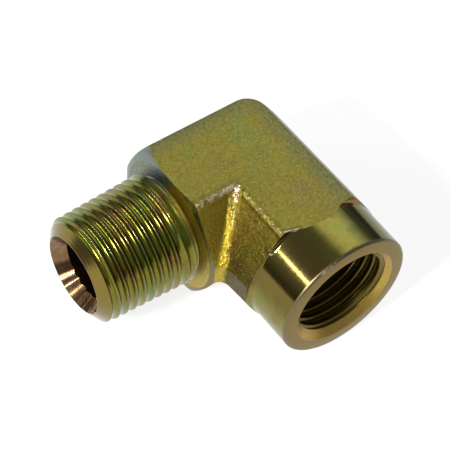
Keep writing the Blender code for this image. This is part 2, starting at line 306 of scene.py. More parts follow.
def group(inputs: Mapping[str, object], *outputs: str) -> Callable[[Layout], Callable[[], Tree]]:
    """Turns a function that lays out nodes into one that gives a shader node group, made once.

    Args:
        inputs: The default of each input: a number, a point or a colour.
        *outputs: The outputs' names, in the order in which the function returns their values.

    Returns:
        The decorator.
    """
    def decorate(lay: Layout) -> Callable[[], Tree]:
        """Keeps the layout for the group's first use.

        Args:
            lay: Lays out the group's nodes.

        Returns:
            A function that gives the group.
        """
        @cache
        def make() -> Tree:
            """Makes the group.

            Returns:
                The group's tree.
            """
            tree = bpy.data.node_groups.new(lay.__name__, "ShaderNodeTree")
            for label, default in inputs.items():
                kind = "Float" if isinstance(default, float) else ("Vector", "Color")[len(default) - 3]
                socket = tree.interface.new_socket(label, in_out="INPUT", socket_type="NodeSocket" + kind)
                socket.default_value = default
            for label in outputs:
                kind = GROUP_KINDS.get(label, "Float")
                tree.interface.new_socket(label, in_out="OUTPUT", socket_type="NodeSocket" + kind)
            graph = Graph(tree)
            given = graph.node("NodeGroupInput").outputs
            graph.node("NodeGroupOutput", dict(zip(outputs, lay(graph, given))))
            return tree
        return make
    return decorate


@group({}, "Position", "Height", "Male Along", "Male Radius", "Female Along", "Female Radius")
def port_space(graph: Graph, _: Mapping[str, Socket]) -> Sequence[Socket]:
    """Group: where a point is, in millimetres, about the crossing and about both port axes.

    Args:
        graph: The group's graph.

    Returns:
        The position, the height, and the distance along and the radius from each axis.
    """
    here = graph.node("ShaderNodeTexCoord").outputs["Object"]
    position = graph.vector("SCALE", graph.vector("SUBTRACT", here, (0.0, 0.0, FLAT)), 1000.0)
    split = graph.node("ShaderNodeSeparateXYZ", {0: position}).outputs
    found = [position, split["Z"]]
    for axis, across in (("X", (0.0, 1.0, 1.0)), ("Y", (1.0, 0.0, 1.0))):
        found.append(graph.math("MULTIPLY", split[axis], -1.0))
        found.append(graph.vector("LENGTH", graph.vector("MULTIPLY", position, across)))
    return found


@group({"Position": ORIGIN, "Scale": 0.2, "Spread": 1.0, "Thin": WHITE, "Middle": WHITE, "Thick": WHITE},
       "Color")
def chromate_film(graph: Graph, given: Mapping[str, Socket]) -> Sequence[Socket]:
    """Group: the plating's colour, which drifts between three tones as the film's thickness does.

    Args:
        graph: The group's graph.
        given: The group's inputs.

    Returns:
        The colour.
    """
    wide = graph.noise(given["Position"], given["Scale"], 3.0, 0.55)
    moved = graph.vector("ADD", given["Position"], (31.0, 17.0, 53.0))
    fine = graph.noise(moved, graph.math("MULTIPLY", given["Scale"], 4.3), 3.0, 0.6)
    both = graph.math("ADD", graph.math("MULTIPLY", graph.math("SUBTRACT", wide, 0.5), 1.6),
                      graph.math("MULTIPLY", graph.math("SUBTRACT", fine, 0.5), 0.7))
    drift = graph.math("MULTIPLY", both, given["Spread"])
    color = graph.blend(graph.ramp(drift, -0.6, 0.0), given["Thin"], given["Middle"])
    return [graph.blend(graph.ramp(drift, 0.0, 0.6), color, given["Thick"])]


@group({"Position": ORIGIN, "Scale": 3.0}, "Height", "Flecks")
def skin_grain(graph: Graph, given: Mapping[str, Socket]) -> Sequence[Socket]:
    """Group: the fine pitting of a descaled forging, and the flecks that catch the light in it.

    Args:
        graph: The group's graph.
        given: The group's inputs.

    Returns:
        The height and the flecks' mask.
    """
    coarse = graph.noise(given["Position"], given["Scale"], 3.0, 0.6)
    fine = graph.noise(given["Position"], graph.math("MULTIPLY", given["Scale"], 2.7), 2.0, 0.6)
    height = graph.math("ADD", graph.math("MULTIPLY", coarse, 0.6), graph.math("MULTIPLY", fine, 0.4))
    return [height, graph.math("MULTIPLY", graph.ramp(fine, 0.6, 0.74), graph.ramp(coarse, 0.45, 0.62))]


@group({"Travel": 0.0, "Pitch": 0.1}, "Height", "Streaks")
def tool_rings(graph: Graph, given: Mapping[str, Socket]) -> Sequence[Socket]:
    """Group: the rings that a turning tool leaves, given the way the tool moved.

    Args:
        graph: The group's graph.
        given: The group's inputs.

    Returns:
        The rings' height, and wider streaks of the same kind.
    """
    turns = graph.math("DIVIDE", given["Travel"], given["Pitch"])
    return [graph.noise(turns, 1.0, 2.0, 0.6, lines=True), graph.noise(turns, 0.17, 3.0, 0.6, lines=True)]


@group({"Position": ORIGIN, "Start": ORIGIN, "Reach": (1.0, 0.0, 0.0), "Width": 1.0}, "Nearness")
def edge_line(graph: Graph, given: Mapping[str, Socket]) -> Sequence[Socket]:
    """Group: how near a point is to a straight edge, 1 on it and 0 at its width or further.

    Args:
        graph: The group's graph.
        given: The group's inputs.

    Returns:
        The nearness.
    """
    away = graph.vector("SUBTRACT", given["Position"], given["Start"])
    shadow = graph.vector("DOT_PRODUCT", away, given["Reach"])
    square = graph.vector("DOT_PRODUCT", given["Reach"], given["Reach"])
    foot = graph.vector("SCALE", given["Reach"], graph.math("DIVIDE", shadow, square, clamp=True))
    share = graph.math("DIVIDE", graph.vector("DISTANCE", away, foot), given["Width"])
    return [graph.ramp(share, 1.0, 0.0)]


@group({"Position": ORIGIN, "Scale": 1.5, "Chance": 0.5}, "Marks")
def stain_and_glint_marks(graph: Graph, given: Mapping[str, Socket]) -> Sequence[Socket]:
    """Group: scattered marks, denser where the given chance is higher: real stains, and the rubbed marks along
    burrs, which carry painted glints.

    Args:
        graph: The group's graph.
        given: The group's inputs.

    Returns:
        The marks' mask.
    """
    patches = graph.noise(given["Position"], given["Scale"], 4.0, 0.65)
    edge = graph.math("SUBTRACT", 0.78, graph.math("MULTIPLY", given["Chance"], 0.42))
    return [graph.ramp(patches, edge, graph.math("ADD", edge, 0.07))]


@dataclass(frozen=True)
class Film:
    """The tones of the chromate on one finish, and how they drift over it."""

    thin: Tone
    middle: Tone
    thick: Tone
    scale: float = 0.14
    spread: float = 1.0

    def lay(self, graph: Graph, position: Socket) -> Socket:
        """The film's colour at a position."""
        return graph.place(chromate_film, Position=position, Scale=self.scale, Spread=self.spread,
                           Thin=self.thin, Middle=self.middle, Thick=self.thick)["Color"]


@dataclass(frozen=True)
class Tint:
    """A drift of the colour towards one tone, along one direction; most tints paint light and shade by the way
    a surface faces.
    """

    towards: Point
    start: float
    end: float
    tone: Tone
    share: float = 1.0
    ragged: float = 1.0

    def lay(self, graph: Graph, position: Socket, color: object) -> Socket:
        """Lays the tint over a colour, with an uneven front.

        Args:
            graph: The material's graph.
            position: Where the point is, in millimetres.
            color: The colour below.

        Returns:
            The tinted colour.
        """
        along = graph.vector("DOT_PRODUCT", position, self.towards)
        drift = graph.math("MULTIPLY", graph.noise(position, 0.5, 3.0, 0.6), 2.0 * self.ragged)
        share = graph.ramp(graph.math("ADD", along, drift), self.start + self.ragged, self.end + self.ragged,
                           0.0, self.share)
        return graph.blend(share, color, self.tone)


@dataclass(frozen=True)
class Burr:
    """A rough, rubbed stretch along one edge, whose marks carry painted glints."""

    start: Point
    reach: Point
    width: float
    chance: float


BURRS = (Burr((-16.0, -7.1, 12.7), (7.5, 0.0, 0.0), 1.9, 0.74),
         Burr((-9.8, -7.2, 12.7), (1.4, 0.0, 0.0), 1.9, 0.95),
         Burr((-8.0, -7.5, 12.6), (-6.6, -6.2, -10.4), 1.9, 0.95),
         Burr((-7.6, -9.5, 12.7), (0.0, -10.5, 0.0), 1.4, 0.6),
         Burr((-6.9, -20.3, 12.7), (2.7, -0.8, 0.0), 0.5, 1.2),
         Burr((-9.9, -20.8, 9.0), (1.7, -0.4, 0.8), 0.9, 1.2),
         Burr((-6.6, -30.5, 11.6), (3.0, 0.0, 1.2), 0.5, 0.9))


class Coat:
    """A finish's material while its nodes are laid out."""

    def __init__(self, finish: Finish, gloss: float, haze: float = 0.12) -> None:
        """Opens the finish's material as a bare metal under a thin clear film.

        Args:
            finish: The finish.
            gloss: The clear film's weight.
            haze: The clear film's roughness.
        """
        material = material_for(finish)
        material.use_nodes = True
        self.graph = Graph(material.node_tree)
        self.shader = material.node_tree.nodes["Principled BSDF"]
        for name, value in (("Metallic", 1.0), ("Coat Weight", gloss), ("Coat Roughness", haze)):
            self.shader.inputs[name].default_value = value
        self.where = self.graph.place(port_space)
        self.position = self.where["Position"]

    def tinted(self, film: Film, tints: Sequence[Tint]) -> Socket:
        """A film's colour under its tints."""
        return self.under(film.lay(self.graph, self.position), tints)

    def under(self, color: object, tints: Sequence[Tint]) -> Socket:
        """Lays tints over a colour.

        Args:
            color: The colour below.
            tints: The tints, the lowest first.

        Returns:
            The tinted colour.
        """
        for tint in tints:
            color = tint.lay(self.graph, self.position, color)
        return color

    def burrs(self) -> tuple[Socket, Socket]:
        """How near the burrs are, and the marks they leave, which carry painted glints.

        Returns:
            The nearness and the marks' mask.
        """
        near: object = 0.0
        for burr in BURRS:
            line = self.graph.place(edge_line, Position=self.position, Start=burr.start, Reach=burr.reach,
                                    Width=burr.width)["Nearness"]
            near = self.graph.math("MAXIMUM", near, self.graph.math("MULTIPLY", line, burr.chance))
        marks = self.graph.place(stain_and_glint_marks, Position=self.position, Scale=2.1, Chance=near)["Marks"]
        return near, self.graph.math("MULTIPLY", marks, self.graph.ramp(near, 0.02, 0.25))

    def lay(self, color: Socket, rough: Socket, height: Socket, metres: float) -> None:
        """Feeds the shader.

        Args:
            color: Its colour.
            rough: Its roughness.
            height: The relief's height, from 0 to 1.
            metres: The relief's full depth.
        """
        bump = self.graph.node("ShaderNodeBump", {"Height": height, "Distance": metres}).outputs[0]
        for name, value in (("Base Color", color), ("Roughness", rough), ("Normal", bump)):
            self.graph.feed(self.shader.inputs[name], value)


@dataclass(frozen=True)
class ForgedSkin:
    """Descaled forging: olive flats with cooler margins, browner sides darkened with painted shade, fine pits
    with painted glints, and rubbed edges with painted glints.
    """

    flats: Film = Film(tone(134, 140, 66), tone(148, 138, 56), tone(144, 130, 66), scale=0.12, spread=1.7)
    # The sides' film: browner than the flats', and darker with painted shade.
    sides: Film = Film(tone(94, 87, 27), tone(88, 77, 23), tone(80, 60, 24), scale=0.25, spread=1.6)
    margin: Tone = tone(112, 114, 80)
    side_levels: tuple[float, float] = (12.7, 12.1)
    margin_edges: tuple[float, float] = (7.5, 8.86)
    margin_fade: tuple[float, float] = (4.6, 0.4)
    margin_share: float = 0.6
    grain_scale: float = 1.7
    grain_shade: tuple[float, float] = (0.84, 1.14)
    fleck_share: float = 0.75
    rough: tuple[float, float] = (0.40, 0.32)
    rubbed_rough: float = 0.3
    # Pale tones painted as glints: the flecks in the pits, and the burrs' marks.
    fleck: Tone = tone(196, 190, 140)
    burr_and_glint: Tone = tone(232, 206, 176)
    relief: float = 0.00022
    # The first tint paints light on the male leg's inner side, lighter and yellower; the second paints a cool
    # grey-green reflection at the top left by the shoulder.
    tints: tuple[Tint, ...] = (Tint((-0.707, 0.707, 0.0), -0.4, 0.6, tone(184, 160, 54)),
                               Tint((-1.0, 0.35, 0.35), 20.2, 21.6, tone(116, 128, 120)))

    def dress(self) -> None:
        """Fills the forging's material."""
        coat = Coat(Finish.FORGED, 0.08)
        graph, position = coat.graph, coat.position
        split = graph.node("ShaderNodeSeparateXYZ", {0: position}).outputs
        side = graph.ramp(graph.math("ABSOLUTE", split["Z"]), *self.side_levels)
        # The sides take their darker film, which paints shade on them, and the tints, which paint light.
        color = graph.blend(side, self.flats.lay(graph, position), coat.tinted(self.sides, self.tints))
        right, top = self.margin_edges
        inset = graph.math("MINIMUM", graph.math("SUBTRACT", top, split["Y"]),
                           graph.math("SUBTRACT", right, split["X"]))
        margin = graph.ramp(inset, *self.margin_fade, 0.0, self.margin_share)
        color = graph.blend(margin, color, self.margin)
        grain = graph.place(skin_grain, Position=position, Scale=self.grain_scale)
        shade = graph.ramp(grain["Height"], 0.36, 0.64, *self.grain_shade)
        color = graph.blend(1.0, color, graph.grey(shade), "MULTIPLY")
        # Painted glints: pale flecks in the pits.
        color = graph.blend(graph.math("MULTIPLY", grain["Flecks"], self.fleck_share), color, self.fleck)
        near, burr_and_glint = coat.burrs()
        rough = graph.ramp(grain["Height"], 0.35, 0.65, *self.rough)
        rough = graph.ramp(burr_and_glint, 0.0, 1.0, rough, self.rubbed_rough)
        swell = graph.ramp(near, 0.0, 0.5, 0.15, 1.5)
        lumps = graph.math("MULTIPLY", graph.noise(position, 1.1, 3.0, 0.6), swell)
        height = graph.math("ADD", grain["Height"], graph.math("MULTIPLY", burr_and_glint, 0.6))
        # Painted glints on the burrs' marks; their roughness and lumps are relief.
        color = graph.blend(burr_and_glint, color, self.burr_and_glint)
        coat.lay(color, rough, graph.math("ADD", height, lumps), self.relief)


@dataclass(frozen=True)
class TurnedSteel:
    """Turned steel under its film: rings of the tool, and a cooler or browner tone in places, which mostly
    paints light and shade, with painted glints on its burrs.
    """

    finish: Finish
    port: Port
    film: Film
    rough: float
    ring_pitch: float = 0.13
    ring_depth: float = 0.00003
    gloss: float = 0.15
    streaks: tuple[float, float] = (0.94, 1.08)
    stain: Tone = tone(96, 74, 36)
    stains: float = 0.0
    tints: tuple[Tint, ...] = ()
    edge: float = 0.0
    worn: Tone = tone(122, 112, 84)
    worn_rough: float = 0.45
    burr_and_glint: Tone = tone(232, 202, 172)
    rubbed_rough: float = 0.32

    def dress(self) -> None:
        """Fills the material."""
        coat = Coat(self.finish, self.gloss)
        graph, name = coat.graph, self.port.name.capitalize()
        travel = graph.math("ADD", coat.where[name + " Along"], coat.where[name + " Radius"])
        rings = graph.place(tool_rings, Travel=travel, Pitch=self.ring_pitch)
        color = self.film.lay(graph, coat.position)
        if self.stains:
            marks = graph.place(stain_and_glint_marks, Position=coat.position, Scale=0.5, Chance=self.stains)["Marks"]
            color = graph.blend(marks, color, self.stain)
        color = coat.under(color, self.tints)
        rough = graph.ramp(rings["Streaks"], 0.3, 0.7, *(self.rough * part for part in self.streaks))
        if self.edge:
            worn = graph.ramp(travel, self.edge, self.edge + 0.2, 0.0, 0.8)
            # Wear on the collar's rounded edge, then painted glints on the burrs' marks, each with its own
            # roughness.
            for share, shade, dull in ((worn, self.worn, self.worn_rough),
                                       (coat.burrs()[1], self.burr_and_glint, self.rubbed_rough)):
                color = graph.blend(share, color, shade)
                rough = graph.blend(share, rough, dull, kind="FLOAT")
        coat.lay(color, rough, rings["Height"], self.ring_depth)


@dataclass(frozen=True)
class CutThread:
    """The cut thread, its chamfer and its relief: pale crests over green and brown flanks, with painted light:
    the crests' highlight, the floor's reflection below and a lighter relief.
    """

    film: Film = Film(tone(78, 112, 26), tone(116, 112, 16), tone(112, 76, 26), scale=0.2, spread=1.7)
    # Paler tone for the thread's underside: painted reflection of the floor.
    low: Tone = tone(112, 106, 44)
    # Pale crests: painted highlight.
    crest: Tone = tone(128, 122, 88)
    chamfer: Tone = tone(124, 106, 40)
    # Lighter tone of the relief groove: painted light.
    relief: Tone = tone(148, 142, 80)
    root: float = 9.55
    depth: float = 0.78
    reach: float = 37.6
    rim: float = 7.82
    chamfer_slope: float = 0.7
    relief_edge: tuple[float, float] = (18.9, 18.3)
    rough: tuple[float, float] = (0.22, 0.34)
    chamfer_rough: float = 0.17
    ring_pitch: float = 0.12
    ring_depth: float = 0.00001
    # The relief's tints: a cool grey-green reflection painted on top, darker and browner painted shade below.
    tints: tuple[Tint, ...] = (Tint((0.0, 0.8, 0.6), 6.5, 9.5, tone(118, 132, 122)),
                               Tint((0.0, -0.2, -1.0), 2.0, 7.0, tone(122, 102, 50)))

    def dress(self) -> None:
        """Fills the material."""
        coat = Coat(Finish.THREAD, 0.4, 0.22)
        graph, along, radius = coat.graph, coat.where["Male Along"], coat.where["Male Radius"]
        inwards = graph.math("SUBTRACT", self.reach, along)
        root = graph.math("ADD", graph.math("MULTIPLY", inwards, TAPER), self.root)
        height = graph.math("DIVIDE", graph.math("SUBTRACT", radius, root), self.depth)
        color = self.film.lay(graph, coat.position)
        # Painted reflection of the floor: the thread grows paler towards its underside.
        color = graph.blend(graph.ramp(coat.where["Height"], 1.0, -7.0, 0.0, 0.25), color, self.low)
        # Painted highlight on the crests.
        color = graph.blend(graph.ramp(height, 0.90, 1.0, 0.0, 0.75), color, self.crest)
        cone = graph.math("MULTIPLY", graph.math("SUBTRACT", radius, self.rim), self.chamfer_slope)
        on_chamfer = graph.ramp(graph.math("SUBTRACT", inwards, cone), 0.10, 0.03)
        color = graph.blend(on_chamfer, color, self.chamfer)
        # The relief takes its lighter tone and its tints: painted light and shade.
        relief = coat.under(self.relief, self.tints)
        color = graph.blend(graph.ramp(along, *self.relief_edge), color, relief)
        rough = graph.ramp(along, *self.relief_edge, *self.rough)
        rough = graph.blend(on_chamfer, rough, self.chamfer_rough, kind="FLOAT")
        rings = graph.place(tool_rings, Travel=graph.math("ADD", along, radius), Pitch=self.ring_pitch)
        coat.lay(color, rough, rings["Height"], self.ring_depth)


FINISHES = (
    ForgedSkin(), CutThread(),
    TurnedSteel(Finish.TURNED_MALE, Port.MALE,
                Film(tone(112, 116, 78), tone(112, 108, 62), tone(106, 92, 50), scale=0.2), rough=0.3,
                # The shoulder's tints: a cool grey-green reflection painted on top, darker and browner painted
                # shade below.
                tints=(Tint((0.0, 0.8, 0.6), 7.0, 9.5, tone(108, 120, 108)),
                       Tint((0.0, 0.0, -1.0), 1.0, 6.0, tone(112, 96, 40)))),
    TurnedSteel(Finish.SEAT, Port.MALE,
                Film(tone(148, 124, 96), tone(120, 90, 60), tone(94, 66, 36), scale=0.25),
                rough=0.2, ring_depth=0.000004),
    TurnedSteel(Finish.BORE, Port.MALE, Film(tone(60, 42, 34), tone(52, 36, 28), tone(44, 30, 24)), rough=0.4),
    TurnedSteel(Finish.TURNED_FEMALE, Port.FEMALE,
                Film(tone(108, 124, 60), tone(130, 124, 56), tone(122, 100, 48), scale=0.16, spread=1.7),
                rough=0.14, ring_depth=0.0000008, stains=0.3, gloss=0.08, edge=43.45,
                # The first two tints paint the room's dark bands reflected on the collar's upper left and upper
                # right; the third browns its top right near the step, and the last gives the end face its own
                # golden tone.
                tints=(Tint((-0.72, 0.0, 0.69), 10.0, 12.6, tone(104, 88, 46), 0.8),
                       Tint((0.62, 0.0, 0.79), 11.4, 13.0, tone(86, 88, 42), 0.9),
                       Tint((0.5, 0.8, 0.86), -4.2, -3.4, tone(132, 94, 46), 0.7),
                       Tint((0.0, -1.0, 0.0), 29.9, 30.2, tone(112, 90, 3)))),
    # The countersink's tones are lighter than those of the other turned faces: painted light.
    TurnedSteel(Finish.SINK, Port.FEMALE,
                Film(tone(190, 166, 84), tone(178, 148, 70), tone(168, 126, 66), scale=0.2),
                rough=0.42, ring_depth=0.00001),
    TurnedSteel(Finish.SOCKET, Port.FEMALE, Film(tone(124, 114, 46), tone(112, 96, 40), tone(92, 70, 34)),
                rough=0.36, ring_depth=0.000008))


def unit(value: float) -> float:
    """A value held between 0 and 1."""
    return min(1.0, max(0.0, value))


def sweep(mesh: Mesh, port: Port, profile: Profile, steps: int, phase: float, advance: float = 0.0,
          closed: bool = False) -> None:
    """Draws a profile beside a port's axis and sweeps it one full turn about the axis.

    Args:
        mesh: The bmesh to draw in.
        port: The port.
        profile: Points of (radius, distance from the crossing).
        steps: Facets round the axis.
        phase: The angle that the sweep starts from.
        advance: How far each facet moves along the axis, for a helix.
        closed: Whether the profile closes on itself, clear of the axis.
    """
    pen = Pen(mesh, port.place(*profile[0]))
    for point in profile[1:]:
        pen.line(port.place(*point))
    if closed:
        pen.close()
    geometry = list(mesh.verts) + list(mesh.edges)
    bmesh.ops.rotate(mesh, verts=mesh.verts, cent=ORIGIN, matrix=Matrix.Rotation(phase, 3, port.value))
    bmesh.ops.spin(mesh, geom=geometry, cent=ORIGIN, axis=port.value, dvec=Vector(port.value) * advance,
                   angle=FULL_TURN, steps=steps, use_merge=not advance, use_duplicate=False)


def turned(name: str, port: Port, profile: Profile, finish: Finish, steps: int = FACETS, closed: bool = False,
           phase: float = 0.0, shape: Callable[[Vector], None] | None = None) -> Piece:
    """Revolves a profile about a port's axis.

    Args:
        name: The object's name.
        port: The port whose axis it turns about.
        profile: Points of (radius, distance from the crossing).
        finish: The finish of its faces.
        steps: Facets round the axis.
        closed: Whether the profile closes on itself, clear of the axis.
        phase: The angle that it starts from.
        shape: A last change to each point, if any.

    Returns:
        The closed solid.
    """
    mesh = bmesh.new()
    sweep(mesh, port, profile, steps, phase, closed=closed)
    for vert in mesh.verts if shape else ():
        shape(vert.co)
    return seal(mesh, name, finish)


def seal(mesh: Mesh, name: str, finish: Finish) -> Piece:
    """Welds a swept shape, turns its faces outwards and makes it an object.

    Args:
        mesh: The bmesh, which is freed.
        name: The object's name.
        finish: The finish of its faces.

    Returns:
        The object.
    """
    bmesh.ops.remove_doubles(mesh, verts=mesh.verts, dist=MERGE)
    bmesh.ops.recalc_face_normals(mesh, faces=mesh.faces)
    return to_object(mesh, name, material_for(finish))


def fillet(centre: tuple[float, float], radius: float, first: float, last: float, steps: int) -> Profile:
    """Points of (radius, distance from the crossing) on an arc in a port's profile.

    Args:
        centre: The arc's centre, as (distance from the crossing, radius).
        radius: The arc's own radius.
        first: Its first angle, from the port's direction towards the outside.
        last: Its last angle.
        steps: How many runs it has.

    Returns:
        The points, both ends included.
    """
    angles = [first + (last - first) * index / steps for index in range(steps + 1)]
    return [(centre[1] + radius * math.sin(angle), centre[0] + radius * math.cos(angle)) for angle in angles]


def cone(reach: float, radius: float, bore: float, margin: float, slope: float) -> Profile:
    """Profile of a cutter for a cone in a port's mouth.

    Args:
        reach: From the crossing to the mouth.
        radius: The cone's radius at the mouth.
        bore: The radius of the bore behind it.
        margin: How far inside the bore the cone ends.
        slope: Its change of radius per length.

    Returns:
        The profile, from the axis to the axis.
    """
    depth = (radius - bore + margin) / slope
    return [(0.0, reach + CLEAR), (radius + CLEAR * slope, reach + CLEAR), (bore - margin, reach - depth),
            (0.0, reach - depth)]


@dataclass(frozen=True)
class Side:
    """One drafted side of the forging, measured from its port's axis."""

    band: float
    flat: float
    bulge: float

    def at(self, share: float) -> float:
        """Offset at a share of the height, 0 at the trimmed band and 1 at a flat."""
        return self.band + (self.flat - self.band) * share + 4.0 * self.bulge * share * (1.0 - share)


@dataclass
class Forging:
    """The drafted L with its trimmed band, its round heel and its filleted crotch."""

    band_half_height: float = 0.0022
    female_leg: float = 0.0214
    male_outer: Side = Side(0.014, 0.00886, 0.0004)
    male_inner: Side = Side(0.01395, 0.0071, 0.0006)
    female_outer: Side = Side(0.01375, 0.0075, 0.0004)
    female_inner: Side = Side(0.0144, 0.0076, 0.0006)
    flare: float = 0.00045
    swell: float = 0.00045
    heel_centre: float = 0.0039
    least_heel: float = 0.001
    crotch_flat: float = 0.001
    crotch_band: float = 0.0022
    edge_round: float = 0.00055
    levels: int = 14

    def outline(self, mesh: Mesh, height: float, share: float) -> list[Edge]:
        """Draws the L at one level.

        Args:
            mesh: The bmesh to draw in.
            height: The level above the crossing.
            share: 0 on the trimmed band, 1 on a flat.

        Returns:
            The closed ring's edges, in the same number at every level.
        """
        male_out, male_in = self.male_outer.at(share), self.male_inner.at(share)
        female_out, female_in = self.female_outer.at(share), self.female_inner.at(share)
        heel = max(min(male_out, female_out) - self.heel_centre, self.least_heel)
        inner = self.crotch_band + (self.crotch_flat - self.crotch_band) * share
        crotch = -female_in - self.swell * (1.0 - share)
        pen = Pen(mesh, (female_out + self.flare, -self.female_leg, height))
        pen.run((female_out, male_out - heel, height), 48)
        pen.arc((female_out - heel, male_out - heel, height), math.pi / 2.0, 24)
        pen.run((-MALE_LEG, male_out, height), 36)
        pen.run((-MALE_LEG, -male_in, height), 24)
        pen.run((crotch - inner, -male_in, height), 12)
        pen.arc((crotch - inner, -male_in - inner, height), -math.pi / 2.0, 10)
        pen.run((-female_in, -self.female_leg, height), 16)
        pen.run((female_out + self.flare, -self.female_leg, height), 24, last=False)
        return pen.close()

    def build(self) -> Piece:
        """Lofts the L from flat to flat and rounds the flats' edges, but not those of the cut ends.

        Returns:
            The closed forging, with square ends on both legs.
        """
        mesh = bmesh.new()
        upper = [(self.band_half_height + (FLAT - self.band_half_height) * index / self.levels,
                  index / self.levels) for index in range(self.levels + 1)]
        levels = [(-height, share) for height, share in reversed(upper)] + [(0.0, 0.0)] + upper
        rings = [self.outline(mesh, height, share) for height, share in levels]
        for lower, above in zip(rings, rings[1:]):
            bmesh.ops.bridge_loops(mesh, edges=lower + above)
        for ring in (rings[0], rings[-1]):
            bmesh.ops.contextual_create(mesh, geom=ring)
        bmesh.ops.recalc_face_normals(mesh, faces=mesh.faces)
        long_edges = [edge for edge in rings[0] + rings[-1] if not self.on_end(edge)]
        bmesh.ops.bevel(mesh, geom=long_edges, offset=self.edge_round, offset_type="OFFSET", segments=5,
                        profile=0.5, affect="EDGES", clamp_overlap=True, material=-1)
        return to_object(mesh, "forging", material_for(Finish.FORGED))

    def on_end(self, edge: Edge) -> bool:
        """Whether an edge lies on the cut end of a leg."""
        return (all(abs(vert.co.x + MALE_LEG) < ON_PLANE for vert in edge.verts)
                or all(abs(vert.co.y + self.female_leg) < ON_PLANE for vert in edge.verts))


@dataclass
class PipeThread:
    """A tapered 60 degree pipe thread, swept as one solid from beyond its mouth to its inner end."""

    port: Port
    mouth: float
    root_radius: float
    depth: float
    first: float
    last: float
    fade: float
    caps: tuple[float, float]
    phase: float = 0.0
    crest_round: float = 0.09
    root_round: float = 0.34
    flank_angle: float = math.radians(60.0)
    bend: int = 5
    steps: int = 180

    def tooth(self) -> Profile:
        """Points of one tooth, as (share of the depth, share of the pitch), from a root's middle.

        Returns:
            The points, which end just before the next root's middle.
        """
        ratio = self.depth / PITCH
        turns = [self.flank_angle * index / self.bend for index in range(self.bend + 1)]
        half = [(self.root_round / ratio * (1.0 - math.cos(turn)), self.root_round * math.sin(turn))
                for turn in turns]
        half += [(1.0 - self.crest_round / ratio * (1.0 - math.cos(turn)),
                  0.5 - self.crest_round * math.sin(turn)) for turn in reversed(turns)]
        half.append((1.0, 0.5))
        return half + [(height, 1.0 - place) for height, place in reversed(half[1:-1])]

    def build(self, name: str, finish: Finish) -> Piece:
        """Sweeps the teeth round the axis, one pitch a turn, and closes both ends with flat caps.

        Args:
            name: The object's name.
            finish: The finish of its faces.

        Returns:
            The closed solid, which runs on past both ends of the thread.
        """
        mesh = bmesh.new()
        count = math.ceil((self.first - self.last) / PITCH) + 1
        places = [(height, turn + place) for turn in range(count) for height, place in self.tooth()]
        places.append((0.0, float(count)))
        profile = [(self.root_radius + height * self.depth, self.first - place * PITCH)
                   for height, place in places]
        sweep(mesh, self.port, profile, self.steps, self.phase, advance=PITCH / self.steps)
        bmesh.ops.remove_doubles(mesh, verts=mesh.verts, dist=MERGE)
        for vert in mesh.verts:
            self.shape(vert.co)
        for radius, at_mouth in zip(self.caps, (True, False)):
            self.cap(mesh, radius, at_mouth)
        return seal(mesh, name, finish)

    def shape(self, point: Vector) -> None:
        """Tapers a point of the straight thread and lets the groove run out near the inner end.

        Args:
            point: The point, which is moved.
        """
        radius, along = self.port.measure(point)
        height = radius - self.root_radius
        share = unit((along - self.last) / self.fade)
        drop = (self.mouth - along) * TAPER
        if self.port is Port.MALE:
            wanted = self.root_radius + (self.depth - (self.depth - height) * share) + drop
        else:
            wanted = self.root_radius + height * share - drop
        self.port.grow(point, wanted / radius)

    def rim(self, mesh: Mesh, at_mouth: bool) -> list[Edge]:
        """The open edges at one end."""
        middle = (self.first + self.last) / 2.0
        return [edge for edge in mesh.edges if edge.is_boundary
                and (self.port.measure(edge.verts[0].co)[1] > middle) == at_mouth]

    def cap(self, mesh: Mesh, radius: float, at_mouth: bool) -> None:
        """Draws one open end to a flat round face, in two stages.

        Args:
            mesh: The swept thread.
            radius: The face's radius.
            at_mouth: Which end to close.
        """
        rim = self.rim(mesh, at_mouth)
        places = [self.port.measure(vert.co)[1] for edge in rim for vert in edge.verts]
        ahead = CLEAR if at_mouth else -CLEAR
        near = (max(places) if at_mouth else min(places)) + ahead / 4.0
        for target in (near, near + ahead):
            made = bmesh.ops.extrude_edge_only(mesh, edges=rim)["geom"]
            for vert in [item for item in made if isinstance(item, Vert)]:
                here, along = self.port.measure(vert.co)
                self.port.grow(vert.co, radius / here)
                vert.co -= Vector(self.port.value) * (target - along)
            ends = {vert for edge in made if isinstance(edge, Edge) and edge.is_boundary for vert in edge.verts}
            bmesh.ops.remove_doubles(mesh, verts=list(ends), dist=MERGE)
            rim = self.rim(mesh, at_mouth)
        bmesh.ops.contextual_create(mesh, geom=rim)


